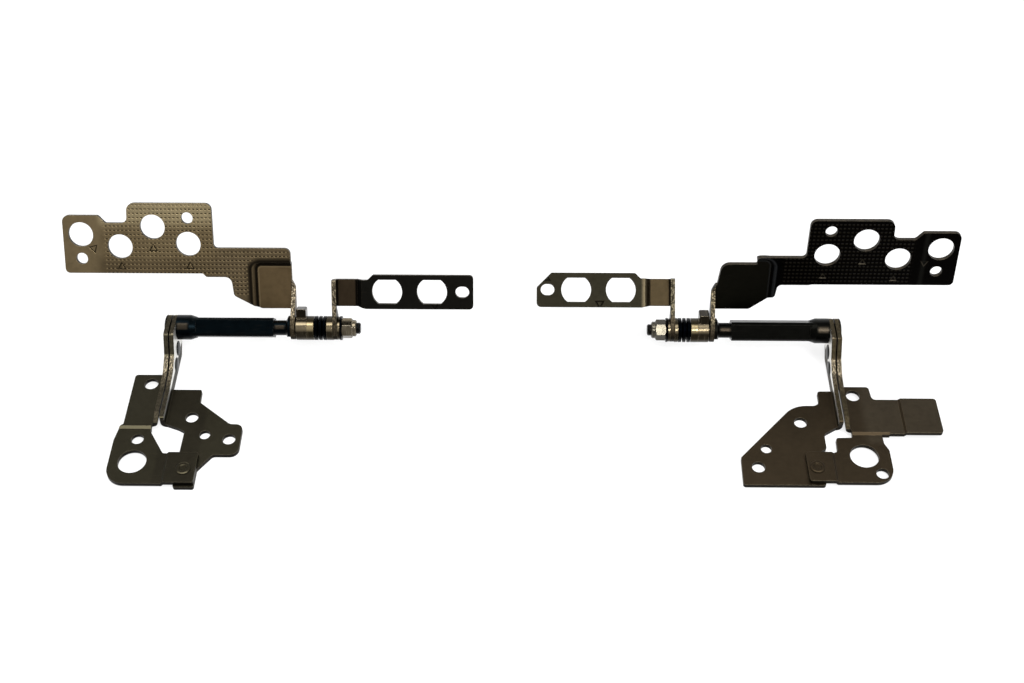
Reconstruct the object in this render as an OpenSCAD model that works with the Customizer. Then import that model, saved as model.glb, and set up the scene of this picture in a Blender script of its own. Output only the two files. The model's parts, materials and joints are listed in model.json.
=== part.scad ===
// Laptop hinge pair, left and right hand, in millimetres.
// +X runs along the common hinge line, -Y is the front, +Z is up. The origin is on the
// plane of the feet, straight below the hinge line and midway between the two hinges.

/* [Pair] */
// Distance between the wall joints of the two hinges
hinge_spacing = 130.8; // [112:0.2:180]
// Height of the hinge line above the plane of the feet
axis_height = 6.1; // [6:0.1:9]

/* [Plate angles] */
// Opening of the left lid bracket, 0 is a closed lid
left_lid_opening = 120; // [60:1:175]
// Opening of the right lid bracket
right_lid_opening = 101; // [60:1:175]
// Opening of the left side bracket
left_side_opening = 124; // [60:1:175]
// Opening of the right side bracket
right_side_opening = 140; // [60:1:175]

/* [Sheet metal] */
// Thickness of every folded plate
sheet = 0.85; // [0.6:0.05:1.1]
// Inside radius of the folds
bend_radius = 0.3; // [0.2:0.05:0.6]
// Seam between the two walls of a base
wall_seam = 0.3; // [0.05:0.05:0.4]

/* [Screw and peg holes] */
// Screw holes in the inner feet
screw_hole_d = 2.5; // [2:0.1:3]
// Screw hole in the rear pad of each outer foot
pad_hole_d = 2.7; // [2:0.1:3]
// Locating hole in each outer foot
peg_hole_d = 2.4; // [1.6:0.1:2.6]
// Locating hole in each inner foot
small_peg_d = 2.1; // [1.6:0.1:2.6]
// Large hole for a screw boss in each outer foot
boss_hole_d = 5.4; // [4:0.1:6]
// Large holes for the lid screws
lid_hole_d = 4.9; // [3:0.1:5.6]
// Locating holes in the lid bracket
lid_peg_d = 2.3; // [1.6:0.1:2.8]
// Width of the flatted holes in the side bracket
flatted_hole_d = 5.9; // [4:0.1:6.4]
// Height across the flats of those holes
flatted_hole_h = 4.8; // [3.6:0.1:5]
// Length of the slot in the side bracket
slot_length = 2.7; // [2.4:0.1:3.4]
// Width of that slot
slot_width = 2.25; // [1.6:0.05:2.3]

/* [Shaft] */
// Diameter of the collar beside the walls
collar_d = 4.95; // [4.3:0.05:5.6]
// Length of the collar
collar_length = 2.6; // [1.5:0.1:4]
// Length of the rounded shoulder from collar to bar
taper_length = 1.2; // [0.4:0.1:1.6]
// Diameter of the bar over its corners
bar_d = 4.6; // [3.9:0.1:4.8]
// Distance across the four flats of the bar
bar_flats = 3.7; // [3.1:0.05:3.8]
// Length of the bar
bar_length = 15.4; // [11:0.1:20]
// Diameter of the neck
neck_d = 3.0; // [2.7:0.1:3.4]
// Length of the neck
neck_length = 2.4; // [1:0.1:4]
// Diameter of the flange that the lid bracket's ear leans on
flange_d = 4.8; // [4:0.1:5.2]
// Thickness of the flange at its rim
flange_thickness = 0.5; // [0.2:0.1:1]
// Distance from the hinge line to the flat cut on the flange
flange_flat = 1.8; // [1.75:0.05:2.2]
// Diameter of the keyed tail
tail_d = 2.6; // [2.3:0.1:2.8]
// Distance across the tail's two flats
tail_flats = 2.1; // [1.7:0.1:2.3]
// Diameter of the threaded end
thread_d = 2.2; // [1.8:0.1:2.3]
// Length of thread past the nut
thread_past_nut = 0.8; // [0.2:0.05:1.5]
// Turn of the left bar's flats against the base
left_flat_turn = 39; // [0:1:89]
// Turn of the right bar's flats against the base
right_flat_turn = 53; // [0:1:89]

/* [Friction stack] */
// Outer diameter of rings and washers
washer_d = 4.8; // [4.2:0.1:5.2]
// Width of the stop collar
stop_width = 2.35; // [1.4:0.05:3]
// Reach of the stop collar's lug from the hinge line
lug_reach = 4.1; // [3.2:0.1:5.2]
// Width of the lug across its sides
lug_width = 2.2; // [1.2:0.1:3]
// Width of the friction ring
ring_width = 1.35; // [0.8:0.05:2]
// Thickness of one disc spring's sheet
spring_sheet = 0.25; // [0.15:0.05:0.35]
// Rise of one disc spring from bore to rim
spring_rise = 0.16; // [0.1:0.01:0.3]
// Number of disc springs
spring_count = 6; // [4:2:8]
// Thickness of the left pressure washer
left_pressure_washer_t = 1.2; // [0.4:0.05:1.4]
// Thickness of the right pressure washer
right_pressure_washer_t = 0.6; // [0.4:0.05:1.4]
// Thickness of the outer friction washer
outer_washer_t = 0.45; // [0.3:0.05:0.8]
// Thickness of the end washer
end_washer_t = 0.35; // [0.2:0.05:0.6]
// Distance across the flats of the lock nut
nut_flats = 3.6; // [3.2:0.1:4.4]
// Length of the nut's hexagon
nut_length = 2.1; // [1.4:0.1:3]
// Length of the nut's locking collar
nut_collar_length = 0.75; // [0.3:0.05:1.2]
// Running clearance of round holes on the tail
running_gap = 0.05; // [0.03:0.01:0.09]
// Running clearance between faces that turn on each other
face_gap = 0.03; // [0.02:0.01:0.06]

/* [Base brackets] */
// Top of the walls above the hinge line, at the shaft
head_top = 2.1; // [2:0.1:3]
// Depth of the walls behind the hinge line
head_back = 2.6; // [2.4:0.1:3.4]
// Level of the walls' long rail below the hinge line
rail_drop = 3.3; // [2.8:0.1:3.6]
// Front end of the outer wall's rail
outer_wall_front = 19.2; // [17:0.1:20]
// Front end of the inner wall's rail
inner_wall_front = 20.6; // [19:0.1:21]
// Front edge of the feet
foot_front = 35.2; // [34.5:0.1:38]
// Diameter of the wall rivets' heads
wall_rivet_d = 3.0; // [2.2:0.1:3.2]
// Diameter of the foot rivet's head
foot_rivet_d = 2.8; // [2:0.1:3.4]

/* [Lid brackets] */
// From the ear to the nearest large hole, left bracket
left_lid_reach = 20.4; // [19:0.1:26]
// From the ear to the nearest large hole, right bracket
right_lid_reach = 21.1; // [20:0.1:26]
// Distance from the hinge line to the front face of the plate, behind it
lid_set_back = 1.65; // [1.2:0.05:2]
// Height of the lower edge of the plate above the hinge line
lid_bottom = 10.6; // [9.8:0.1:10.8]
// Height of the top edge of the plate
lid_top = 24.7; // [24.2:0.1:28]
// Width of the end pad past its large hole
pad_margin = 3.45; // [3:0.05:5]
// Lower edge of the recessed tab
tab_bottom = 3.3; // [3.2:0.05:4.2]
// Top of the ear's fold
ear_top = 7.8; // [7:0.1:10]

/* [Side brackets] */
// Distance from the hinge line to the front face of the plate, before it
side_set_forward = 1.95; // [1.7:0.05:2.2]
// Lower edge of the plate
side_bottom = 4.3; // [4.2:0.1:4.7]
// Upper edge of the plate
side_top = 11.1; // [10.8:0.1:12]
// Height of the row of holes
side_hole_v = 7.75; // [7.5:0.05:7.9]
// From the ear to the first flatted hole, left bracket
left_side_reach = 10.45; // [9.8:0.05:14]
// From the ear to the first flatted hole, right bracket
right_side_reach = 10.2; // [9.8:0.05:14]
// Distance between the two flatted holes
flatted_pitch = 8.8; // [7.5:0.05:10]
// From the second flatted hole to the slot, left bracket
left_slot_pitch = 5.95; // [5.4:0.05:8]
// From the second flatted hole to the slot, right bracket
right_slot_pitch = 5.65; // [5.4:0.05:8]

/* [Hidden] */
$fn = 48;
LEFT = 0;
RIGHT = 1;

// Colours as the photograph shows them
olive = "#6b5f45";
dark_olive = "#38332a";
black_oxide = "#1b1c1e";
bronze = "#a08a5c";
steel = "#b9ae92";

// Stations along the shaft, counted inwards from the seam between the walls
wall_face = wall_seam / 2 + sheet;
collar_end = wall_face + collar_length;
taper_end = collar_end + taper_length;
bar_end = taper_end + bar_length;
neck_end = bar_end + neck_length;
flange_cone = (flange_d - neck_d) / 4;
flange_end = neck_end + flange_cone + flange_thickness;
lid_ear_at = flange_end + face_gap;
stop_at = lid_ear_at + sheet;
ring_at = stop_at + stop_width + face_gap;
springs_at = ring_at + ring_width;
spring_seam = 0.02;
spring_height = spring_sheet + spring_rise;
spring_pitch = spring_height + spring_seam;
pressure_at = springs_at + spring_count * spring_pitch + spring_seam;
pressure_washer_t = [left_pressure_washer_t, right_pressure_washer_t];
function side_ear_at(side) = pressure_at + pressure_washer_t[side] + face_gap;
function outer_washer_at(side) = side_ear_at(side) + sheet + face_gap;
function end_washer_at(side) = outer_washer_at(side) + outer_washer_t;
function nut_at(side) = end_washer_at(side) + end_washer_t;
key_gap = 0.03;
ear_hub_r = washer_d / 2 - 0.1;

// Levels of the feet, counted from the hinge line; a step is half a sheet
step = sheet / 2;
floor_z = -axis_height;
root_x = wall_face + bend_radius;
rivet_shank_d = 1.6;
rivet_rise = 0.3;
wall_rivets_at = [[3.1, -2.8], [6.3, -4.2]];
head_dome = 0.5;
spigot_d = 3.2;
spigot_flats = 2.6;

// Rounded outlines: each corner is [x, y, radius], and a radius never outgrows its edges
function unit(v) = v / norm(v);
function flat(p) = [p.x, p.y];
function heading(v) = atan2(v.y, v.x);
function turn_between(from, to) = (to - from) - 360 * round((to - from) / 360);
function corner_arc(a, b, c) =
    let (u = unit(flat(a) - flat(b)), w = unit(flat(c) - flat(b)),
         half = acos(max(-1, min(1, u * w))) / 2,
         room = min(norm(flat(a) - flat(b)), norm(flat(c) - flat(b))) * 0.49,
         r = min(b[2], room * tan(half)))
    r < 0.01 || half > 89 ? [flat(b)] :
    let (centre = flat(b) + unit(u + w) * r / sin(half),
         from = heading(flat(b) + u * r / tan(half) - centre),
         to = heading(flat(b) + w * r / tan(half) - centre),
         turn = turn_between(from, to),
         steps = max(2, ceil(abs(turn) / (r > 2 ? 8 : 15))))
    [for (i = [0:steps]) centre + r * [cos(from + turn * i / steps), sin(from + turn * i / steps)]];
function rounded(points) =
    let (n = len(points))
    [for (i = [0:n - 1]) each corner_arc(points[(i + n - 1) % n], points[i], points[(i + 1) % n])];

// Touching point of the line from p to a circle of radius r about the origin
function tangent_point(p, r, side) =
    let (angle = heading(p) + side * acos(r / norm(p)))
    r * [cos(angle), sin(angle)];

// A sheet's section from its underside line
function strip(path) = concat(path, [for (i = [len(path) - 1:-1:0]) path[i] + [0, sheet]]);

// Placing
module left_hinge() {
    translate([-hinge_spacing / 2, 0, axis_height]) children();
}

module right_hinge() {
    mirror([1, 0, 0]) left_hinge() children();
}

// Turns Y into the distance towards the front
module forward() {
    mirror([0, 1, 0]) children();
}

module along_shaft(x) {
    translate([x, 0, 0]) rotate([0, 90, 0]) children();
}

// A flat outline stood up across the shaft: its x becomes Y and its y becomes Z
module upright(x, thickness) {
    translate([x, 0, 0]) rotate([90, 0, 90]) linear_extrude(thickness) children();
}

// A section in the plane of X and Z drawn out along Y
module drawn_along_y(y0, y1) {
    translate([0, y1, 0]) rotate([90, 0, 0]) linear_extrude(y1 - y0) children();
}

// Quarter ring of sheet that joins a leaf on its -X side to a leaf on its -Z side
module fold(y0, y1) {
    translate([0, y1, 0]) rotate([0, 180, 0]) rotate([90, 0, 0])
        rotate_extrude(angle = 90) translate([bend_radius, 0]) square([sheet, y1 - y0]);
}

module dome(r, rise) {
    steps = 6;
    rotate_extrude() polygon(concat([[0, 0]],
        [for (i = [0:steps]) [r * cos(90 * i / steps), rise * sin(90 * i / steps)]]));
}

module flatted_circle(d, flats) {
    intersection() {
        circle(d = d);
        square([d + 1, flats], center = true);
    }
}

module keyed_ring(outer_d, length) {
    difference() {
        cylinder(d = outer_d, h = length);
        translate([0, 0, -1]) linear_extrude(length + 2)
            flatted_circle(tail_d + 2 * key_gap, tail_flats + 2 * key_gap);
    }
}

// Shaft
module bar_section(turn) {
    intersection() {
        circle(d = bar_d);
        rotate(turn) square(bar_flats, center = true);
    }
}

// The flange's lower front side is cut flat
module flange() {
    along_shaft(neck_end) difference() {
        union() {
            cylinder(d1 = neck_d, d2 = flange_d, h = flange_cone);
            translate([0, 0, flange_cone]) cylinder(d = flange_d, h = flange_thickness);
        }
        rotate(-47) translate([flange_flat, -5, -1]) cube([5, 10, 5]);
    }
}

module shaft(side, flat_turn) {
    tail_end = nut_at(side) - end_washer_t / 2;
    thread_end = nut_at(side) + nut_length + nut_collar_length + thread_past_nut;
    shoulder_d = collar_d - 0.25;
    shoulder_end = taper_length * 0.3;
    color(black_oxide) {
        along_shaft(-wall_face) mirror([0, 0, 1]) dome(collar_d / 2, head_dome);
        along_shaft(-wall_face) linear_extrude(2 * wall_face) flatted_circle(spigot_d, spigot_flats);
        along_shaft(wall_face) cylinder(d = collar_d, h = collar_length);
        along_shaft(collar_end) cylinder(d1 = collar_d, d2 = shoulder_d, h = shoulder_end);
        along_shaft(collar_end + shoulder_end)
            cylinder(d1 = shoulder_d, d2 = (bar_d + bar_flats) / 2, h = taper_length - shoulder_end);
        along_shaft(collar_end) linear_extrude(bar_end - collar_end) bar_section(flat_turn);
        along_shaft(bar_end) cylinder(d = neck_d, h = neck_length + flange_cone);
        flange();
        along_shaft(flange_end) linear_extrude(tail_end - flange_end) flatted_circle(tail_d, tail_flats);
        along_shaft(tail_end) cylinder(d = thread_d, h = thread_end - tail_end - 0.2);
        along_shaft(thread_end - 0.2) cylinder(d1 = thread_d, d2 = thread_d - 0.4, h = 0.2);
    }
}

// Friction stack
module stop_collar() {
    bore_r = tail_d / 2 + running_gap;
    shoulder = 0.3;
    lug_from = stop_at + shoulder;
    lug_to = stop_at + stop_width - 0.1;
    color(bronze) difference() {
        union() {
            along_shaft(stop_at) cylinder(d1 = washer_d - 2 * shoulder, d2 = washer_d, h = shoulder);
            along_shaft(lug_from) cylinder(d = washer_d, h = stop_width - shoulder);
            translate([0, 0, -lug_width / 2]) linear_extrude(lug_width) polygon(rounded([
                [lug_from, 0, 0], [lug_from, lug_reach, 0.2], [lug_to, lug_reach, 0.35], [lug_to, 0, 0]
            ]));
        }
        along_shaft(stop_at - 1) cylinder(r = bore_r, h = stop_width + 2);
    }
}

module friction_ring() {
    color(bronze) along_shaft(ring_at) keyed_ring(washer_d, ring_width);
}

module disc_spring() {
    bore_r = tail_d / 2 + running_gap;
    rotate_extrude() polygon([
        [bore_r, 0], [washer_d / 2, spring_rise],
        [washer_d / 2, spring_height], [bore_r, spring_sheet]
    ]);
}

module disc_springs() {
    color(black_oxide) for (i = [0:spring_count - 1]) {
        base = springs_at + spring_seam + i * spring_pitch;
        if (i % 2 == 0) along_shaft(base) disc_spring();
        else along_shaft(base + spring_height) mirror([0, 0, 1]) disc_spring();
    }
}

module pressure_washer(side) {
    color(steel) along_shaft(pressure_at) keyed_ring(washer_d, pressure_washer_t[side]);
}

module outer_washer(side) {
    color(steel) along_shaft(outer_washer_at(side)) keyed_ring(washer_d - 0.2, outer_washer_t);
}

module end_washer(side) {
    color(black_oxide) along_shaft(end_washer_at(side)) difference() {
        cylinder(d = washer_d, h = end_washer_t);
        translate([0, 0, -1]) cylinder(d = tail_d + 2 * key_gap, h = end_washer_t + 2);
    }
}

module lock_nut(side, turn) {
    corner_d = nut_flats / cos(30);
    collar_top = nut_length + nut_collar_length;
    color(steel) along_shaft(nut_at(side)) difference() {
        union() {
            intersection() {
                rotate(turn) cylinder(d = corner_d, h = nut_length, $fn = 6);
                rotate_extrude() polygon([
                    [0, 0], [nut_flats / 2, 0], [corner_d / 2, 0.2],
                    [corner_d / 2, nut_length - 0.3], [nut_flats / 2 - 0.1, nut_length], [0, nut_length]
                ]);
            }
            cylinder(d = nut_flats - 0.3, h = collar_top - 0.2);
            translate([0, 0, collar_top - 0.2]) cylinder(d1 = nut_flats - 0.3, d2 = nut_flats - 0.8, h = 0.2);
        }
        translate([0, 0, -1]) cylinder(d = thread_d + 2 * key_gap, h = collar_top + 2);
    }
}

// Lid bracket, drawn in its plate's own plane: X along the shaft from the ear, Y up the
// plate, Z out of its front face; the ear's outer face is at X = 0
lid_front = -lid_set_back;
lid_back = lid_front - sheet;
tab_front = lid_front - sheet;
tab_back = tab_front - sheet;
ear_root = tab_front + bend_radius;
plate_top = [lid_top, lid_top - 0.35];
pad_top = [lid_top - 2.5, lid_top - 2.95];
notch_floor = [lid_top - 4.0, lid_top - 4.5];

// Holes of each bracket, from the end pad inwards; X counts from the large hole by the ear
lid_holes = [
    [[-21.07, 18.39], [-13.45, 16.0], [-6.85, 19.97], [0, 16.56]],
    [[-21.57, 18.15], [-13.66, 15.84], [-7.13, 20.05], [0, 16.72]]
];
lid_pegs = [
    [[-21.16, 13.54], [0.05, 21.76]],
    [[-21.39, 13.09], [-0.2, 22.0]]
];

ear_slope = 1.3;
function tab_low(side) = tab_bottom + (side == LEFT ? 0 : 0.15);
function lid_hole_x(side) = sheet / 2 - (side == LEFT ? left_lid_reach : right_lid_reach);

// The long plate from the block round the end pad, from the top of the neck outwards
function lid_plate_points(side, block_edge, neck_top, notch, bottom) =
    let (x = lid_hole_x(side), end = x + lid_holes[side][0].x - pad_margin, top = plate_top[side])
    [
        [x + block_edge + 0.05, neck_top, 0.8],
        [x + block_edge, top, 1.3],
        [x + notch + 0.15, top, 1.5],
        [x + notch, notch_floor[side], 1.2],
        [x + notch - 4.25, notch_floor[side], 0.7],
        [x + notch - 5.65, pad_top[side], 0.6],
        [end, pad_top[side], 1.3],
        [end - 0.1, bottom, 0.9]
    ];

// The tab: its free edge, the ear's fold line and its lower edge follow each side's pattern
function lid_outline(side) =
    let (x = lid_hole_x(side), edge = -bend_radius, low = tab_low(side))
    side == LEFT ? concat(
        [[0.05, 15.75, 1.2], [0.05, ear_top + ear_slope, 0], [edge, ear_top + ear_slope, 0], [edge, low, 0]],
        [[-6.2, low, 1.0], [-11.45, 6.1, 0.9], [-11.85, 9.9, 1.4]],
        [[x + 3.25, 9.9, 0.2], [x + 2.55, lid_bottom, 0.2]],
        reverse_points(lid_plate_points(side, 4.9, 15.75, -11.85, lid_bottom)))
    : concat(
        [[-7.35, 16.0, 1.3], [-7.75, 13.9, 0.3], [-0.9, 13.9, 1.8], [-0.3, ear_top + ear_slope, 0]],
        [[edge, ear_top + ear_slope, 0], [edge, low, 0]],
        [[-6.9, low, 1.0], [-11.6, 7.1, 0.8], [-11.9, 9.75, 0.9]],
        [[x + 2.85, 9.75, 0.2], [x + 2.15, 9.9, 0.2]],
        reverse_points(lid_plate_points(side, 3.85, 16.0, -12.2, 9.9)));

function reverse_points(points) = [for (i = [len(points) - 1:-1:0]) points[i]];

// Corner of the recess at its inner rim, and the radius of that corner
recess_corner = [[-6.65, 12.0], [-10.35, 14.9]];
recess_r = [0.7, 1.3];
recess_slope = sheet;
recess_lap = sheet * tan(22.5);

// Rounded block whose rim grows from r0 at z0 to r1 at z1, open past the ear and the tab
module recess_block(corner, r, grow0, grow1, z0, z1) {
    hull() for (x = [corner.x + r, 6], y = [corner.y - r, -6])
        translate([x, y, z0]) cylinder(r1 = r + grow0, r2 = r + grow1, h = z1 - z0, $fn = 32);
}

module lid_sheet(side) {
    corner = recess_corner[side];
    r = recess_r[side];
    over = 0.2;
    intersection() {
        translate([0, 0, tab_back - 1]) linear_extrude(lid_front - tab_back + 2)
            polygon(rounded(lid_outline(side)));
        union() {
            difference() {
                translate([-60, 0, lid_back]) cube([70, 40, sheet]);
                recess_block(corner, r, 0, recess_slope * (1 + over / sheet), lid_back, lid_front + over);
            }
            recess_block(corner, r, recess_lap, recess_lap + recess_slope, tab_back, lid_back);
        }
    }
}

// The ear and its fold, whose upper corner is cut on a slope
module lid_ear(side) {
    low = tab_low(side);
    top = [ear_top, ear_root];
    bottom = [low, ear_root];
    upright(0, sheet) {
        polygon([
            top, tangent_point(top, ear_hub_r, 1), [0, 0],
            tangent_point(bottom, ear_hub_r, -1), bottom
        ]);
        circle(r = ear_hub_r);
    }
    difference() {
        translate([-bend_radius, 0, ear_root]) mirror([1, 0, 0]) fold(low, ear_top + ear_slope);
        translate([0, 0, tab_back - 1]) linear_extrude(5)
            polygon([
                [sheet, ear_top], [sheet + 2, ear_top], [sheet + 2, ear_top + 4],
                [0, ear_top + ear_slope + 1], [0, ear_top + ear_slope]
            ]);
    }
}

module plate_hole(place, d) {
    translate([place.x, place.y, -10]) cylinder(d = d, h = 20);
}

module lid_bracket(side, opening, tint) {
    x = lid_hole_x(side);
    bore_r = tail_d / 2 + running_gap;
    color(tint) rotate([180 - opening, 0, 0]) translate([lid_ear_at, 0, 0]) difference() {
        union() {
            lid_sheet(side);
            lid_ear(side);
        }
        for (hole = lid_holes[side]) plate_hole([x + hole.x, hole.y], lid_hole_d);
        for (peg = lid_pegs[side]) plate_hole([x + peg.x, peg.y], lid_peg_d);
        along_shaft(-1) cylinder(r = bore_r, h = sheet + 2);
    }
}

// Side bracket, in its plate's own plane; the ear's outer face is at X = 0
side_front = side_set_forward;
arm_front = side_front - sheet;
arm_root = arm_front + bend_radius;
arm_bottom = side_bottom + 0.4;
arm_top = side_top - 1.05;
side_ear_front = ear_hub_r + 0.15;

function side_first_x(side) = sheet / 2 + (side == LEFT ? left_side_reach : right_side_reach);
function side_slot_x(side) =
    side_first_x(side) + flatted_pitch + (side == LEFT ? left_slot_pitch : right_slot_pitch);

function side_outline(side) =
    let (x = side_first_x(side), end = side_slot_x(side) + slot_length / 2 + 0.8)
    concat(
        [[sheet + bend_radius, arm_bottom, 0], [sheet + bend_radius, arm_top, 0]],
        [[x - 3.85, arm_top, 0.4], [x - 2.8, side_top, 0.5]],
        side == LEFT ? [[end, side_top, 0.8], [end, side_bottom, 0.8]]
                     : [[end - 2.9, side_top, 0.4], [end, side_top - 2.9, 0.4], [end, side_bottom, 0.9]],
        [[x - 4.2, side_bottom, 0.5], [x - 5.8, arm_bottom, 0.5]]);

module side_sheet(side) {
    joggle_at = 5.0;
    path = [
        [0, arm_front - sheet], [joggle_at, arm_front - sheet],
        [joggle_at + sheet, side_front - sheet], [40, side_front - sheet]
    ];
    intersection() {
        linear_extrude(10) polygon(rounded(side_outline(side)));
        drawn_along_y(0, 20) polygon(strip(path));
    }
}

module side_ear() {
    top = [arm_top - 0.2, side_ear_front];
    bottom = [arm_bottom, arm_root];
    upright(0, sheet) {
        polygon([
            bottom, [arm_top, arm_root], [arm_top, side_ear_front - 0.3], top,
            tangent_point(top, ear_hub_r, 1), [0, 0], tangent_point(bottom, ear_hub_r, -1)
        ]);
        circle(r = ear_hub_r);
    }
    translate([sheet + bend_radius, 0, arm_root]) fold(arm_bottom, arm_top);
}

module flatted_hole(x) {
    translate([x, side_hole_v, -1]) linear_extrude(12) flatted_circle(flatted_hole_d, flatted_hole_h);
}

module side_bracket(side, opening, tint) {
    bore_r = tail_d / 2 + running_gap;
    slot_x = side_slot_x(side);
    slot_half = (slot_length - slot_width) / 2;
    color(tint) rotate([180 - opening, 0, 0]) translate([side_ear_at(side), 0, 0]) difference() {
        union() {
            side_sheet(side);
            side_ear();
        }
        flatted_hole(side_first_x(side));
        flatted_hole(side_first_x(side) + flatted_pitch);
        for (x = [-slot_half, slot_half]) plate_hole([slot_x + x, side_hole_v], slot_width);
        translate([slot_x - slot_half, side_hole_v - slot_width / 2, -1])
            cube([2 * slot_half, slot_width, 12]);
        along_shaft(-1) cylinder(r = bore_r, h = sheet + 2);
    }
}

// Base brackets, drawn with Y towards the front and Z from the hinge line
inner_under = floor_z;
outer_under = floor_z + sheet;
inner_root = [[11.9, 20.7], [11.3, 20.4]];
outer_root = [[8.8, 21.3], [10.85, 21.7]];

// Side view of a wall: head round the shaft, slope to the rail, feet fold below
function wall_points(under, root, front) =
    let (fold_z = under + sheet + bend_radius)
    [
        [-head_back, head_top * 0.4, 0.6],
        [-head_back * 0.45, head_top, 0.5],
        [3.85, head_top, 0.5],
        [6.3, -1.4, 0.8],
        [9.3, -rail_drop + 0.4, 1.5],
        [13.4, -rail_drop, 3],
        [front, -rail_drop, 0.4],
        [root[1], fold_z, 0],
        [root[0], fold_z, 0],
        [root[0], under, 0],
        [2.0, under, 0.8],
        [-head_back, -1.8, 0.8]
    ];

module wall(x, under, root, front) {
    difference() {
        upright(x, sheet) polygon(rounded(wall_points(under, root, front)));
        along_shaft(x - 1) linear_extrude(sheet + 2)
            flatted_circle(spigot_d + 2 * key_gap, spigot_flats + 2 * key_gap);
        for (place = wall_rivets_at) translate([x - 1, place.x, place.y]) rotate([0, 90, 0])
            cylinder(d = rivet_shank_d + 2 * key_gap, h = sheet + 2);
    }
}

foot_rivet_at = [[6.5, 32.0], [6.3, 30.6]];

// Feet of the inner brackets, seen from above, X inwards and Y forwards
inner_foot = [
    [
        [root_x, inner_root[0][0], 0], [6.75, inner_root[0][0], 0.4], [6.85, 15.1, 0.6],
        [13.4, 20.5, 1.2], [16.0, 20.6, 1.7], [16.0, 28.0, 1.7], [11.2, 28.0, 1.0],
        [8.75, 31.5, 0.6], [8.75, foot_front + 0.5, 0.4], [4.9, foot_front + 0.5, 0.4],
        [4.9, 27.5, 0.4], [5.0, 22.4, 0.4], [3.6, 21.6, 0.3], [root_x, inner_root[0][1], 0]
    ],
    [
        [root_x, inner_root[1][0], 0], [3.8, inner_root[1][0], 0.5], [3.8, 15.0, 1.3],
        [8.8, 15.0, 7.5], [20.1, 27.8, 0.5], [20.2, foot_front - 1.0, 0.5],
        [4.9, foot_front - 1.0, 0.5], [4.9, 26.2, 0.4], [3.8, 25.5, 0.5], [3.8, 22.0, 1.0],
        [root_x, inner_root[1][1], 0]
    ]
];
inner_screws = [[[5.87, 18.92], [13.79, 24.25]], [[7.95, 19.21], [17.04, 30.05]]];
inner_pegs = [[9.02, 23.22], [15.16, 25.67]];

// Feet of the outer brackets: X is still inwards, so the pads lie on the negative side
outer_foot = [
    [
        [-root_x, outer_root[0][0], 0], [-6.7, outer_root[0][0], 0.6], [-6.75, 21.3, 0.1],
        [-7.5, 21.9, 0.8], [-8.0, 25.0, 2.0], [-8.0, foot_front, 3.6], [8.75, foot_front, 0.5],
        [8.75, 28.1, 0.4], [1.9, 28.1, 0.6], [-1.4, 22.7, 0.3], [-root_x, outer_root[0][1], 0]
    ],
    [
        [-root_x, outer_root[1][0], 0], [-6.05, outer_root[1][0], 0.6], [-6.3, 14.05, 0.8],
        [-18.45, 14.05, 0.6], [-18.55, 22.5, 0.6], [-7.0, 22.5, 0], [-7.1, 24.6, 0.6],
        [-7.85, 26.2, 1.5], [-7.85, foot_front - 1.4, 3.3], [8.0, foot_front - 1.4, 0.6],
        [8.1, 26.9, 0.6], [2.9, 27.0, 0.3], [1.9, 26.6, 0.7], [1.8, 23.3, 0.5],
        [-1.4, 23.2, 0.3], [-root_x, outer_root[1][1], 0]
    ]
];
pad_screws = [[-3.2, 11.17], [-2.77, 13.08]];
outer_pegs = [[-3.51, 24.7], [-5.73, 31.71]];
outer_bosses = [[-3.54, 30.09], [-2.95, 27.61]];
tab_step_at = 11.2;
lap_step_at = 2.7;

module foot_hole(place, d) {
    translate([place.x, place.y, floor_z - 1]) cylinder(d = d, h = 5);
}

module inner_base_bracket(side) {
    root = inner_root[side];
    color(dark_olive) forward() difference() {
        union() {
            wall(wall_seam / 2, inner_under, root, inner_wall_front);
            translate([root_x, 0, inner_under + sheet + bend_radius]) fold(root[0], root[1]);
            translate([0, 0, inner_under]) linear_extrude(sheet) polygon(rounded(inner_foot[side]));
        }
        for (place = inner_screws[side]) foot_hole(place, screw_hole_d);
        foot_hole(inner_pegs[side], small_peg_d);
        foot_hole(foot_rivet_at[side], rivet_shank_d + 2 * key_gap);
    }
}

// The outer foot drops half a sheet in front of its pad, and rises as much at its lap
module outer_foot_sheet(side) {
    pad = outer_under;
    low = outer_under - step;
    drop_at = outer_root[side][1] + 0.45;
    along_y = [[0, pad], [drop_at, pad], [drop_at + step, low], [50, low]];
    along_x = [[-50, low], [lap_step_at, low], [lap_step_at + step, pad], [50, pad]];
    tab_x = [[-50, pad + step], [-tab_step_at - step, pad + step], [-tab_step_at, pad], [0, pad]];
    split_x = lap_step_at - 0.5;
    split_tab = side == LEFT ? -30 : -8.5;
    intersection() {
        translate([0, 0, floor_z]) linear_extrude(5) polygon(rounded(outer_foot[side]));
        union() {
            upright(split_tab, split_x - split_tab) polygon(strip(along_y));
            intersection() {
                drawn_along_y(0, 50) polygon(strip(along_x));
                translate([split_x, 0, -20]) cube([40, 50, 40]);
            }
            if (side == RIGHT) intersection() {
                drawn_along_y(0, 50) polygon(strip(tab_x));
                translate([split_tab - 40, 0, -20]) cube([40, 50, 40]);
            }
        }
    }
}

module outer_base_bracket(side) {
    root = outer_root[side];
    color(dark_olive) forward() difference() {
        union() {
            wall(-wall_face, outer_under, root, outer_wall_front);
            translate([-root_x, 0, outer_under + sheet + bend_radius]) mirror([1, 0, 0])
                fold(root[0], root[1]);
            outer_foot_sheet(side);
        }
        foot_hole(pad_screws[side], pad_hole_d);
        foot_hole(outer_pegs[side], peg_hole_d);
        foot_hole(outer_bosses[side], boss_hole_d);
        foot_hole(foot_rivet_at[side], rivet_shank_d + 2 * key_gap);
    }
}

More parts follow.
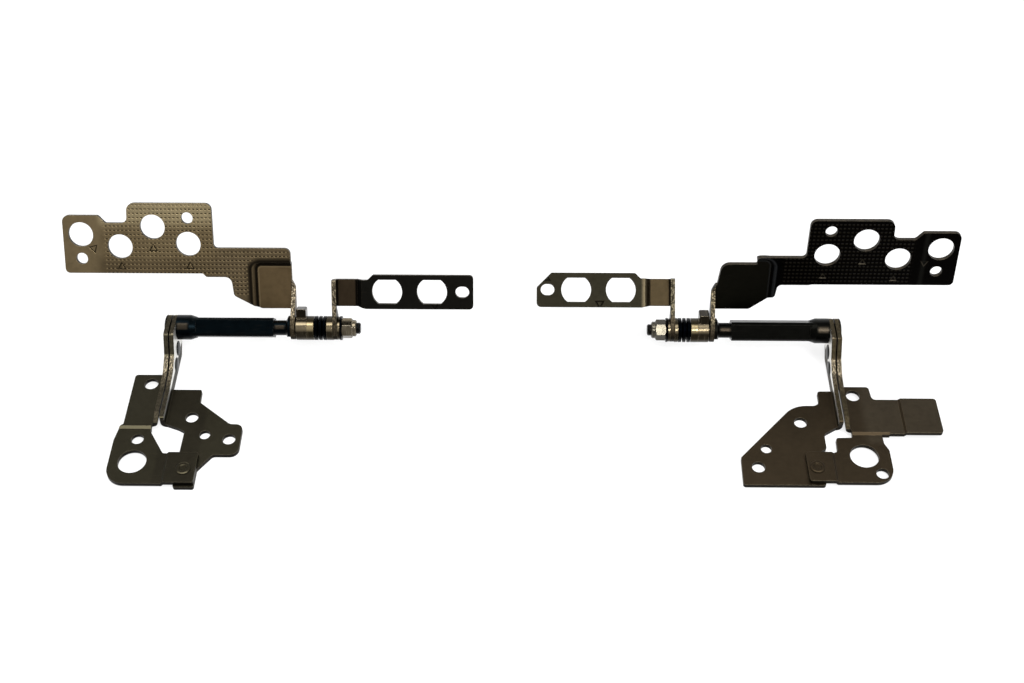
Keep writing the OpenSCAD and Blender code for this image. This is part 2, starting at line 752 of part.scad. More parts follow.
module wall_rivets() {
    color(black_oxide) forward() for (place = wall_rivets_at) translate([0, place.x, place.y]) {
        along_shaft(-wall_face) cylinder(d = rivet_shank_d, h = 2 * wall_face);
        along_shaft(wall_face) dome(wall_rivet_d / 2, rivet_rise);
        along_shaft(-wall_face) mirror([0, 0, 1]) dome(wall_rivet_d / 2, rivet_rise);
    }
}

module foot_rivet(side) {
    place = foot_rivet_at[side];
    top = outer_under + sheet;
    head_r = foot_rivet_d / 2;
    dimple_r = head_r * 0.55;
    color(dark_olive) forward() translate([place.x, place.y, 0]) {
        translate([0, 0, floor_z]) cylinder(d = rivet_shank_d, h = top - floor_z);
        translate([0, 0, top]) rotate_extrude() polygon([
            [0, 0], [head_r, 0], [head_r, rivet_rise / 2], [head_r - 0.2, rivet_rise],
            [dimple_r, rivet_rise], [dimple_r - 0.15, rivet_rise / 3], [0, rivet_rise / 3]
        ]);
    }
}

left_hinge() outer_base_bracket(LEFT);  // left_outer_base_bracket
left_hinge() inner_base_bracket(LEFT);  // left_inner_base_bracket
left_hinge() wall_rivets();  // left_wall_rivets
left_hinge() foot_rivet(LEFT);  // left_foot_rivet
left_hinge() shaft(LEFT, left_flat_turn);  // left_shaft
left_hinge() lid_bracket(LEFT, left_lid_opening, olive);  // left_lid_bracket
left_hinge() rotate([180 - left_lid_opening, 0, 0]) stop_collar();  // left_stop_collar
left_hinge() friction_ring();  // left_friction_ring
left_hinge() disc_springs();  // left_disc_springs
left_hinge() pressure_washer(LEFT);  // left_pressure_washer
left_hinge() side_bracket(LEFT, left_side_opening, dark_olive);  // left_side_bracket
left_hinge() outer_washer(LEFT);  // left_outer_washer
left_hinge() end_washer(LEFT);  // left_end_washer
left_hinge() lock_nut(LEFT, 30);  // left_lock_nut
right_hinge() outer_base_bracket(RIGHT);  // right_outer_base_bracket
right_hinge() inner_base_bracket(RIGHT);  // right_inner_base_bracket
right_hinge() wall_rivets();  // right_wall_rivets
right_hinge() foot_rivet(RIGHT);  // right_foot_rivet
right_hinge() shaft(RIGHT, right_flat_turn);  // right_shaft
right_hinge() lid_bracket(RIGHT, right_lid_opening, dark_olive);  // right_lid_bracket
right_hinge() rotate([180 - right_lid_opening, 0, 0]) stop_collar();  // right_stop_collar
right_hinge() friction_ring();  // right_friction_ring
right_hinge() disc_springs();  // right_disc_springs
right_hinge() pressure_washer(RIGHT);  // right_pressure_washer
right_hinge() side_bracket(RIGHT, right_side_opening, olive);  // right_side_bracket
right_hinge() outer_washer(RIGHT);  // right_outer_washer
right_hinge() end_washer(RIGHT);  // right_end_washer
right_hinge() lock_nut(RIGHT, 13);  // right_lock_nut
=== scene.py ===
"""Looks of a pair of laptop hinges: plated sheet brackets, black shafts, bright nuts and washers.

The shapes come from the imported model. This script dresses every sub-part with a procedural
finish, adds the cut threads at the shaft ends, and sets the floor, the light and the camera.
Sizes are in millimetres, and in metres where a line says so.
"""

import json
import logging
import math
from dataclasses import dataclass, replace
from enum import Enum
from typing import Dict, Optional, Sequence, Tuple, Union

import bmesh
import bpy
from mathutils import Matrix, Vector

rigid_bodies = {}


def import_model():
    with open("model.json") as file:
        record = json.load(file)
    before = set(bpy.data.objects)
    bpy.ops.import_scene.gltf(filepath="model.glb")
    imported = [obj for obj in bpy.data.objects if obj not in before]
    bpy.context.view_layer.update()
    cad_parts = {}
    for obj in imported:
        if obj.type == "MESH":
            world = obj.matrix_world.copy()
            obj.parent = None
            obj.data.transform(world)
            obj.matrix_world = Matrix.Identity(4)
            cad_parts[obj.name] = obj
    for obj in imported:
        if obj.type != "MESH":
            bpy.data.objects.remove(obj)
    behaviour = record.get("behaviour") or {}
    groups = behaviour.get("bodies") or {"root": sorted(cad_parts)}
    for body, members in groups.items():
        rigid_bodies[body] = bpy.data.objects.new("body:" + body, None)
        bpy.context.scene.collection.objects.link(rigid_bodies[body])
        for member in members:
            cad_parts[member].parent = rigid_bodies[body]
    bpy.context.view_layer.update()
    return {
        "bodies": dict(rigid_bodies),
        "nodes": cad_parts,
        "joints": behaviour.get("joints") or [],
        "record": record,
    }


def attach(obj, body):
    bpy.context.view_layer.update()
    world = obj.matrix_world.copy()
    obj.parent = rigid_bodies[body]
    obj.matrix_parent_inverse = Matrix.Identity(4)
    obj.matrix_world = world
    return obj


log = logging.getLogger("hinge_pair")

Colour = Tuple[float, float, float]
Triple = Tuple[float, float, float]
Span = Tuple[float, float]
Socket = bpy.types.NodeSocket
Value = Union[Socket, float]
Tint = Union[Socket, Colour]

MM = 0.001  # metres in a millimetre
SHEET = 0.85  # thickness of every bracket
AXIS_HEIGHT = 6.1  # the shafts' line above the floor
SEAM_X = 65.4  # each hinge's wall seam from the middle of the pair
LID_EAR_AT = 23.58  # the lid bracket's ear inwards from the seam
HIGHLIGHT_SIDE = (0.0, -0.64, 0.768)  # side of a turned part that gets a painted highlight, facing front and up


def scaled(colour: Colour, share: float) -> Colour:
    """A colour made darker or lighter by a factor."""
    return tuple(share * part for part in colour)


class Hand(Enum):
    """Which hinge of the pair; the value is the sign of the inward direction along X."""

    LEFT = 1
    RIGHT = -1

    @property
    def prefix(self) -> str:
        """Start of the names of this hinge's sub-parts."""
        return "left_" if self is Hand.LEFT else "right_"


class Graph:
    """A node tree with short calls for the nodes that the finishes and the studio need."""

    def __init__(self, owner: Union[bpy.types.Material, bpy.types.World], output: str) -> None:
        """Empties the owner's tree.

        Args:
            owner: the material or world.
            output: type name of its output node.
        """
        owner.use_nodes = True
        self.owner = owner
        self.tree = owner.node_tree
        self.tree.nodes.clear()
        self.output = self.add(output)
        self.coordinates = self.add("ShaderNodeTexCoord")

    @classmethod
    def of_material(cls, name: str) -> "Graph":
        """Makes an empty material of that name."""
        return cls(bpy.data.materials.new(name), "ShaderNodeOutputMaterial")

    def add(self, kind: str, **settings: object) -> bpy.types.Node:
        """Adds a node.

        Args:
            kind: the node's type name.
            settings: attributes to set on it.

        Returns:
            The new node.
        """
        node = self.tree.nodes.new(kind)
        for name, value in settings.items():
            setattr(node, name, value)
        return node

    def put(self, socket: Socket, value: object) -> None:
        """Links a socket to an output, or sets its constant.

        Args:
            socket: the input to feed.
            value: an output socket, a number or a tuple of numbers.
        """
        if isinstance(value, bpy.types.NodeSocket):
            self.tree.links.new(value, socket)
        else:
            socket.default_value = value

    def put_colour(self, socket: Socket, colour: Tint) -> None:
        """Links a colour socket, or sets its constant from three numbers."""
        linked = isinstance(colour, bpy.types.NodeSocket)
        self.put(socket, colour if linked else (*colour, 1.0))

    def math(self, operation: str, a: Value, b: Value = 0.0, clamp: bool = False) -> Socket:
        """Joins one or two numbers with a Math node.

        Args:
            operation: the Math node's operation.
            a: first number.
            b: second number.
            clamp: keep the result between 0 and 1.

        Returns:
            The result.
        """
        node = self.add("ShaderNodeMath", operation=operation, use_clamp=clamp)
        self.put(node.inputs[0], a)
        self.put(node.inputs[1], b)
        return node.outputs[0]

    def product(self, first: Value, *others: Value) -> Socket:
        """Multiplies numbers.

        Args:
            first: first number.
            others: the numbers to multiply it by, in turn.

        Returns:
            The product.
        """
        for other in others:
            first = self.math("MULTIPLY", first, other)
        return first

    def rest(self, share: Value) -> Socket:
        """What a share leaves of 1."""
        return self.math("SUBTRACT", 1.0, share)

    def size_of(self, value: Value) -> Socket:
        """A number without its sign."""
        return self.math("ABSOLUTE", value)

    def apart(self, a: Value, b: Value) -> Socket:
        """How far two numbers lie apart."""
        return self.size_of(self.math("SUBTRACT", a, b))

    def vector(self, operation: str, a: Socket,
               b: Union[Socket, Triple] = (0.0, 0.0, 0.0)) -> Socket:
        """Joins one or two vectors with a Vector Math node.

        Args:
            operation: the node's operation.
            a: first vector.
            b: second vector.

        Returns:
            The result, a number for a length or a dot product.
        """
        node = self.add("ShaderNodeVectorMath", operation=operation)
        self.put(node.inputs[0], a)
        self.put(node.inputs[1], b)
        return node.outputs["Value" if operation in ("DOT_PRODUCT", "LENGTH") else "Vector"]

    def smooth(self, value: Value, low: float, high: float,
               start: float = 0.0, end: float = 1.0) -> Socket:
        """Maps a number from one span to another with soft ends.

        Args:
            value: the number.
            low: where the result is start; it may be more than high.
            high: where the result is end.
            start: result at and before low.
            end: result at and past high.

        Returns:
            The mapped number.
        """
        if low > high:
            low, high, start, end = high, low, end, start
        node = self.add("ShaderNodeMapRange", interpolation_type="SMOOTHSTEP")
        limits = {"Value": value, "From Min": low, "From Max": high, "To Min": start, "To Max": end}
        for name, limit in limits.items():
            self.put(node.inputs[name], limit)
        return node.outputs["Result"]

    def within(self, value: Value, span: Span, soft: float) -> Socket:
        """Mask of a span.

        Args:
            value: the number.
            span: its limits.
            soft: width of the border that lies across each limit.

        Returns:
            1 between the limits, 0 outside.
        """
        (low, high), half = span, soft / 2
        return self.product(self.smooth(value, low - half, low + half),
                            self.smooth(value, high + half, high - half))

    def mix(self, factor: Value, a: Tint, b: Tint) -> Socket:
        """Blends two colours.

        Args:
            factor: share of the second colour.
            a: first colour.
            b: second colour.

        Returns:
            The blended colour.
        """
        node = self.add("ShaderNodeMix", data_type="RGBA", clamp_factor=True)
        self.put(node.inputs[0], factor)
        self.put_colour(node.inputs[6], a)
        self.put_colour(node.inputs[7], b)
        return node.outputs[2]

    def noise(self, where: Socket, scale: float, detail: float = 3.0,
              stretch: Optional[Triple] = None) -> Socket:
        """Smooth random pattern.

        Args:
            where: coordinates in millimetres.
            scale: features per millimetre.
            detail: octaves.
            stretch: how much the pattern is squeezed along each axis.

        Returns:
            A number around 0.5.
        """
        node = self.add("ShaderNodeTexNoise")
        if stretch is not None:
            where = self.vector("MULTIPLY", where, stretch)
        self.put(node.inputs["Vector"], where)
        self.put(node.inputs["Scale"], scale)
        self.put(node.inputs["Detail"], detail)
        return node.outputs["Fac"]

    def split(self, vector: Socket) -> Tuple[Socket, Socket, Socket]:
        """Takes a vector apart.

        Args:
            vector: the vector.

        Returns:
            Its parts along X, Y and Z.
        """
        node = self.add("ShaderNodeSeparateXYZ")
        self.put(node.inputs[0], vector)
        return node.outputs[0], node.outputs[1], node.outputs[2]

    def bump(self, height: Socket, depth: float, normal: Socket, strength: float = 1.0) -> Socket:
        """Tilts the surface by a height.

        Args:
            height: the height, from 0 to 1.
            depth: millimetres that a height of 1 stands for.
            normal: the surface direction to start from.
            strength: share of the effect.

        Returns:
            The tilted surface direction.
        """
        node = self.add("ShaderNodeBump")
        self.put(node.inputs["Height"], height)
        self.put(node.inputs["Distance"], depth * MM)
        self.put(node.inputs["Strength"], strength)
        self.put(node.inputs["Normal"], normal)
        return node.outputs["Normal"]

    def rounded_edges(self, radius: float) -> Tuple[Socket, Socket]:
        """Softens sharp edges, and finds them.

        Args:
            radius: the rounding.

        Returns:
            The softened surface direction, and a mask that is 1 along the edges.
        """
        bevel = self.add("ShaderNodeBevel", samples=6)
        self.put(bevel.inputs["Radius"], radius * MM)
        flat = self.add("ShaderNodeNewGeometry")
        match = self.vector("DOT_PRODUCT", bevel.outputs[0], flat.outputs["Normal"])
        return bevel.outputs[0], self.smooth(match, 0.995, 0.86)

    def backdrop_rays(self) -> Socket:
        """Finds the rays that see a plain white.

        Returns:
            1 for rays from the camera, from gloss and through glass, 0 for all others.
        """
        path = self.add("ShaderNodeLightPath")
        seen = path.outputs["Is Camera Ray"]
        for kind in ("Is Glossy Ray", "Is Transmission Ray"):
            seen = self.math("MAXIMUM", seen, path.outputs[kind])
        return seen

    def finish_metal(self, colour: Socket, roughness: Socket, normal: Socket) -> None:
        """Ends the tree in a metal surface.

        Args:
            colour: the metal's colour.
            roughness: its roughness.
            normal: its surface direction.
        """
        shader = self.add("ShaderNodeBsdfPrincipled")
        self.put(shader.inputs["Base Color"], colour)
        self.put(shader.inputs["Roughness"], roughness)
        self.put(shader.inputs["Metallic"], 1.0)
        self.put(shader.inputs["Normal"], normal)
        self.put(self.output.inputs["Surface"], shader.outputs[0])

    def finish_blend(self, factor: Value, first: bpy.types.Node, second: bpy.types.Node) -> None:
        """Ends the tree in two shaders.

        Args:
            factor: share of the second one.
            first: node of the first shader.
            second: node of the second shader.
        """
        blend = self.add("ShaderNodeMixShader")
        self.put(blend.inputs[0], factor)
        self.put(blend.inputs[1], first.outputs[0])
        self.put(blend.inputs[2], second.outputs[0])
        self.put(self.output.inputs["Surface"], blend.outputs[0])


@dataclass(frozen=True)
class BaseFrame:
    """Coordinates of a base bracket: X inwards from the seam, Y backwards, Z up from the feet."""

    hand: Hand

    @property
    def start(self) -> Triple:
        """Where the frame starts, in metres."""
        return (-self.hand.value * SEAM_X * MM, 0.0, 0.0)

    def turned(self, graph: Graph, vector: Socket) -> Socket:
        """Turns a vector into the frame, which for a base bracket stands level."""
        return vector

    def coordinates(self, graph: Graph) -> Tuple[Socket, Socket]:
        """Coordinates and surface direction in this frame.

        Args:
            graph: the material's tree.

        Returns:
            The position in millimetres, and the direction.
        """
        sign = float(self.hand.value)
        moved = graph.vector("SUBTRACT", graph.coordinates.outputs["Object"], self.start)
        place = graph.vector("MULTIPLY", self.turned(graph, moved), (sign / MM, 1 / MM, 1 / MM))
        facing = self.turned(graph, graph.coordinates.outputs["Normal"])
        return place, graph.vector("MULTIPLY", facing, (sign, 1.0, 1.0))


@dataclass(frozen=True)
class PlateFrame(BaseFrame):
    """Coordinates of a folded plate: X along the shaft from the ear, Y up the plate and Z out
    of its front face."""

    ear_at: float
    opening: float

    @property
    def start(self) -> Triple:
        """Where the frame starts, in metres."""
        return (self.hand.value * (self.ear_at - SEAM_X) * MM, 0.0, AXIS_HEIGHT * MM)

    def turned(self, graph: Graph, vector: Socket) -> Socket:
        """Turns a vector back from the plate's opening.

        Args:
            graph: the material's tree.
            vector: a place or a direction.

        Returns:
            The vector in the plate's frame.
        """
        node = graph.add("ShaderNodeVectorRotate", rotation_type="X_AXIS")
        graph.put(node.inputs["Vector"], vector)
        graph.put(node.inputs["Angle"], -math.radians(180.0 - self.opening))
        return node.outputs[0]


@dataclass(frozen=True)
class Dimples:
    """Rows of small pressed dashes over part of a plate's front face."""

    x_span: Span
    y_span: Span
    pitch: Span = (0.79, 0.855)
    half_size: Span = (0.22, 0.14)
    soft: float = 0.07
    border: float = 0.4

    def pattern(self, graph: Graph, place: Socket) -> Tuple[Socket, Socket]:
        """Finds the dashes.

        Args:
            graph: the material's tree.
            place: plate coordinates.

        Returns:
            A mask that is 1 in a dash, and one that is 1 between two dashes of a row.
        """
        x, y, _ = graph.split(place)
        parts = []
        for value, pitch, half in zip((x, y), self.pitch, self.half_size):
            cell = graph.math("FRACT", graph.math("DIVIDE", value, pitch))
            off = graph.product(graph.apart(cell, 0.5), pitch)
            parts.append(graph.smooth(off, half + self.soft, half - self.soft))
        dash, row = parts
        row = graph.product(row, graph.within(x, self.x_span, self.border),
                            graph.within(y, self.y_span, self.border))
        return graph.product(row, dash), graph.product(row, graph.rest(dash))


@dataclass(frozen=True)
class Triangle:
    """A small stamped triangle, the usual mark beside a screw hole. Its strokes take the painted
    mark tone by their own shares, base for the one it stands on and slant for the other two,
    painting how much light each stroke catches."""

    x: float
    y: float
    turn: float = 0.0
    size: float = 0.42
    base: float = 0.9
    slant: float = 0.9

    def line(self, graph: Graph, place: Socket) -> Socket:
        """Finds the strokes.

        Args:
            graph: the material's tree.
            place: plate coordinates.

        Returns:
            The strokes' shares on the line, 0 elsewhere.
        """
        moved = graph.vector("SUBTRACT", place, (self.x, self.y, 0.0))
        sides = []
        for corner in (0, 120, 240):
            angle = math.radians(self.turn - 90 + corner)
            outwards = (math.cos(angle), math.sin(angle), 0.0)
            sides.append(graph.vector("DOT_PRODUCT", moved, outwards))
        slants = graph.math("MAXIMUM", sides[1], sides[2])
        off = graph.apart(graph.math("MAXIMUM", sides[0], slants), self.size)
        line = graph.smooth(off, 0.4 * self.size, 0.16 * self.size)
        to_base = graph.math("SUBTRACT", sides[0], slants)
        return graph.product(line, graph.smooth(to_base, -0.1, 0.02, self.slant, self.base))


@dataclass(frozen=True)
class LightZone:
    """Part of a plate whose tone paints the light and shade that fall there, with soft borders. One
    with wall_from covers an upright wall from that height, and leaves its edges unworn."""

    x_span: Span
    y_span: Span
    tone: Colour
    soft: float = 0.5
    wall_from: Optional[float] = None

    def mask(self, graph: Graph, place: Socket) -> Socket:
        """Share of the zone's own tone at a point.

        Args:
            graph: the material's tree.
            Share of the zone's painted tone at a point.

        Returns:
            1 inside, 0 outside.
        """
        x, y, z = graph.split(place)
        inside = graph.product(graph.within(x, self.x_span, self.soft),
                               graph.within(y, self.y_span, self.soft))
        if self.wall_from is not None:
            above = graph.smooth(z, self.wall_from, self.wall_from + 0.3)
            inside = graph.product(inside, above)
        return inside


@dataclass(frozen=True)
class Recess:
    """The stepped-back tab of a lid bracket, with painted shade bands round its rounded corner at
    x, y. The ridge between the bands gets a painted highlight by its own share, the lip a fainter
    one."""

    x: float
    y: float
    radius: float
    # dark is the painted shade, light the painted highlight, glow the ridge's share of it
    dark: Colour
    light: Colour
    glow: float = 0.0
    ridge_at: float = 0.8
    lip_at: float = -0.16
    dashes_from: Span = (1.5, 2.1)

    def distance(self, graph: Graph, place: Socket) -> Tuple[Socket, Socket]:
        """Distance outwards from the tab's rounded corner.

        Args:
            graph: the material's tree.
            place: plate coordinates.

        Returns:
            The distance, and a number that is 1 above the tab and 0 beside it.
        """
        x, y, _ = graph.split(place)
        across = graph.math("SUBTRACT", self.x + self.radius, x)
        up = graph.math("SUBTRACT", y, self.y - self.radius)
        squares = [graph.math("POWER", graph.math("MAXIMUM", part, 0.0), 2.0)
                   for part in (across, up)]
        outside = graph.math("SQRT", graph.math("ADD", *squares))
        inside = graph.math("MINIMUM", graph.math("MAXIMUM", across, up), 0.0)
        reach = graph.math("SUBTRACT", graph.math("ADD", outside, inside), self.radius)
        return reach, graph.smooth(graph.math("SUBTRACT", up, across), -1.2, 1.2)

    def clear_of(self, graph: Graph, place: Socket) -> Socket:
        """Mask that is 1 where the rows of dashes may start."""
        return graph.smooth(self.distance(graph, place)[0], *self.dashes_from)

    def paint_light_and_shade(self, graph: Graph, place: Socket, colour: Socket) -> Socket:
        """Paints shade bands round the pressed rim, and highlights on its ridge and lip.

        Args:
            graph: the material's tree.
            place: plate coordinates.
            colour: the plating's colour.

        Returns:
            The colour with the recess's painted shade and highlights.
        """
        reach, above = self.distance(graph, place)
        start = graph.smooth(reach, -0.02, 0.12)
        ridge = graph.smooth(graph.apart(reach, self.ridge_at), 0.42, 0.1)
        top = graph.product(graph.smooth(reach, 2.3, 1.1), above)
        side = graph.product(graph.smooth(reach, 2.6, 1.4), graph.rest(graph.product(ridge, 0.8)),
                             graph.rest(above))
        bands = graph.product(graph.math("ADD", top, side), start, 0.95)
        colour = graph.mix(bands, colour, self.dark)
        lip = graph.smooth(graph.apart(reach, self.lip_at), 0.15, 0.05)
        colour = graph.mix(graph.product(lip, 0.4), colour, self.light)
        return graph.mix(graph.product(ridge, start, self.glow), colour, self.light)


@dataclass(frozen=True)
class SheetFinish:
    """Plated and folded sheet steel: a mottled film, fine grain, bright sheared edges, and painted
    light and shade on its steps, dashes, marks, edges and zones.
    """

    film: Colour
    shade: Colour
    edge: Colour
    rim: Colour
    torn_and_glint: Colour
    roughness: float = 0.44
    # share of the lighter edge rim, which is wear and also a painted edge highlight
    wear: float = 0.6
    # tones painted into the pressed dashes and stamped strokes for the light and shade in them
    dash_painted_tone: Colour = (0.0200, 0.0150, 0.0080)
    mark: Colour = (0.0012, 0.0010, 0.0007)
    # share and strength of the painted highlight between dashes
    ridge_highlight_share: float = 0.22
    ridge_highlight_tone: float = 2.4
    # painted tone on the slopes of pressed steps: shade below 1, highlight above 1
    fold_painted_tone: float = 0.3
    fold_painted_share: float = 0.0
    side_fold_painted_tone: float = 2.1
    fold_front: bool = False
    rounding: float = 0.1
    dash_depth: float = 0.055
    mark_depth: float = 0.05
    grain_depth: float = 0.012

    def build(self, title: str, frame: BaseFrame, dimples: Optional[Dimples] = None,
              marks: Sequence[Triangle] = (), zones: Sequence[LightZone] = (), eared: bool = False,
              recess: Optional[Recess] = None) -> bpy.types.Material:
        """Makes the material for one folded plate.

        Args:
            title: the material's name.
            frame: the plate's own coordinates.
            dimples: pressed dashes, if the plate has them.
            marks: stamped triangles.
            zones: parts of the plate with painted light and shade.
            eared: whether the plate has an ear, whose flat faces look along X.
            recess: the stepped-back tab, if the plate has one.

        Returns:
            The material.
        """
        graph = Graph.of_material(title)
        place, facing = frame.coordinates(graph)
        face = self._faces(graph, place, facing, eared)
        colour = self._film_colour(graph, place, zones)
        if recess:
            colour = recess.paint_light_and_shade(graph, place, colour)
        colour = graph.mix(face, self._cut_colour(graph, place, facing, eared), colour)
        folds, side_folds = self._folds(graph, facing)
        # painted shade on the slopes of the steps for a tone below 1, a painted highlight above 1
        fold_painted_colour = scaled(self.film, self.fold_painted_tone)
        colour = graph.mix(graph.product(folds, self.fold_painted_share), colour, fold_painted_colour)
        if side_folds is not None:
            colour = graph.mix(side_folds, colour, scaled(self.film, self.side_fold_painted_tone))
        normal, worn = graph.rounded_edges(self.rounding)
        for zone in zones:
            if zone.wall_from is not None:
                worn = graph.product(worn, graph.rest(zone.mask(graph, place)))
        # lighter rim along the edges: wear, and also a painted edge highlight
        colour = graph.mix(graph.product(worn, self.wear), colour, self.rim)
        if dimples:
            where = graph.product(face, recess.clear_of(graph, place)) if recess else face
            dash, between = dimples.pattern(graph, place)
            # painted highlight between the dashes of a row
            ridge_highlight = graph.product(between, where, self.ridge_highlight_share)
            colour = graph.mix(ridge_highlight, colour, scaled(self.film, self.ridge_highlight_tone))
            pressed = graph.product(dash, where)
            # painted tone in the dashes for their light and shade
            colour = graph.mix(graph.product(pressed, 0.85), colour, self.dash_painted_tone)
            normal = graph.bump(graph.rest(pressed), self.dash_depth, normal)
        for mark in marks:
            line = graph.product(mark.line(graph, place), face)
            colour = graph.mix(line, colour, self.mark)
            normal = graph.bump(graph.rest(line), self.mark_depth, normal)
        grain = graph.noise(place, 7.0, 4.0)
        normal = graph.bump(graph.product(grain, 0.35), self.grain_depth, normal, 0.8)
        rough = graph.math("ADD", self.roughness - 0.08, graph.product(grain, 0.16))
        rough = graph.math("ADD", rough, graph.product(graph.rest(face), 0.06))
        rough = graph.math("ADD", rough, graph.product(folds, 0.25), clamp=True)
        graph.finish_metal(colour, rough, normal)
        return graph.owner

    def _on_ear(self, graph: Graph, x: Socket) -> Socket:
        """Mask of the ear, which lies across the start of X."""
        return graph.smooth(graph.apart(x, SHEET / 2), 0.52, 0.44)

    def _faces(self, graph: Graph, place: Socket, facing: Socket, eared: bool) -> Socket:
        """Finds the sheet's rolled faces.

        Args:
            graph: the material's tree.
            place: plate coordinates.
            facing: surface direction in the plate's frame.
            eared: whether the plate has an ear; one without has a wall at its seam.

        Returns:
            1 on the faces, 0 on the sheared edges.
        """
        x, _, z = graph.split(place)
        along, _, out = graph.split(facing)
        if eared:
            upright = self._on_ear(graph, x)
        else:
            near_seam = graph.smooth(graph.size_of(x), 1.3, 1.1)
            upright = graph.product(near_seam, graph.smooth(z, 1.9, 2.2))
        across = graph.product(graph.smooth(graph.size_of(along), 0.5, 0.8), upright)
        flat = graph.product(graph.smooth(graph.size_of(out), 0.35, 0.6), graph.rest(upright))
        return graph.math("MAXIMUM", flat, across, clamp=True)

    def _film_colour(self, graph: Graph, place: Socket, zones: Sequence[LightZone]) -> Socket:
        """Mixes the plating's clouds, small patches and few faint drawn streaks over the zones'
        painted light and shade.

        Args:
            graph: the material's tree.
            place: plate coordinates.
            zones: parts of the plate with painted light and shade.

        Returns:
            The plating's colour.
        """
        film: Tint = self.film
        shade: Tint = self.shade
        for zone in zones:
            mask = zone.mask(graph, place)
            film = graph.mix(mask, film, zone.tone)
            shade = graph.mix(mask, shade, scaled(zone.tone, 0.7))
        clouds = graph.smooth(graph.noise(place, 0.14, 4.0), 0.3, 0.7)
        patches = graph.smooth(graph.noise(place, 0.9, 5.0), 0.35, 0.75)
        mottle = graph.math("ADD", graph.product(clouds, 0.55), graph.product(patches, 0.45),
                            clamp=True)
        streaks = graph.smooth(graph.noise(place, 0.9, 4.0, (0.3, 4.0, 4.0)), 0.6, 0.85)
        return graph.mix(graph.product(streaks, 0.07), graph.mix(mottle, film, shade), self.rim)

    def _cut_colour(self, graph: Graph, place: Socket, facing: Socket, eared: bool) -> Socket:
        """Mixes the sheared edges' colour: dark where burnished and grainy where torn, a painted
        highlight where a wall's edge faces up and forward, painted shade on edges that face
        forward.

        Args:
            graph: the material's tree.
            place: plate coordinates.
            facing: surface direction in the plate's frame.
            eared: whether the plate has an ear, up which the grainy colour grows from the hub.

        Returns:
            The edges' colour.
        """
        x, y, z = graph.split(place)
        patches = graph.smooth(graph.noise(place, 2.6, 4.0, (1.0, 1.0, 0.5)), 0.42, 0.62)
        dark = graph.mix(patches, scaled(self.edge, 0.55), self.edge)
        # painted shade on edges that face forward, on a base bracket only low down
        front_edge_shade = graph.smooth(graph.split(facing)[1], -0.4, -0.75)
        if not eared:
            front_edge_shade = graph.product(front_edge_shade, graph.smooth(z, 2.0, 1.7))
        dark = graph.mix(graph.product(front_edge_shade, 0.9), dark, scaled(self.edge, 0.16))
        grains = graph.smooth(graph.noise(place, 2.8, 5.0, (1.5, 1.0, 1.0)), 0.45, 0.66)
        bright = graph.mix(grains, scaled(self.torn_and_glint, 0.1), self.torn_and_glint)
        if eared:
            up_the_ear = graph.smooth(y, 1.6, 3.2, 0.12, 1.0)
            where = graph.product(self._on_ear(graph, x), up_the_ear)
        else:
            # on a base bracket the grainy colour is a painted highlight where a wall's edge faces
            # up and forward
            glint = graph.vector("DOT_PRODUCT", facing, (0.0, -0.42, 0.91))
            where = graph.product(graph.smooth(glint, 0.90, 0.985), graph.smooth(z, 2.6, 3.4))
        return graph.mix(where, dark, bright)

    def _folds(self, graph: Graph, facing: Socket) -> Tuple[Socket, Optional[Socket]]:
        """Finds the sloped sides of pressed steps, where a painted tone of light and shade goes.

        Args:
            graph: the material's tree.
            facing: surface direction in the plate's frame.

        Returns:
            Mask of the steps. Where fold_front is set it leaves out those that look along X,
            and a weaker mask of these comes second.
        """
        along, upwards, out = graph.split(facing)
        slopes = graph.smooth(graph.apart(graph.size_of(out), 0.72), 0.16, 0.06)
        if not self.fold_front:
            return slopes, None
        front = graph.product(slopes, graph.smooth(graph.size_of(upwards), 0.3, 0.5))
        side = graph.product(slopes, graph.smooth(graph.size_of(along), 0.3, 0.5), 0.85)
        return front, side


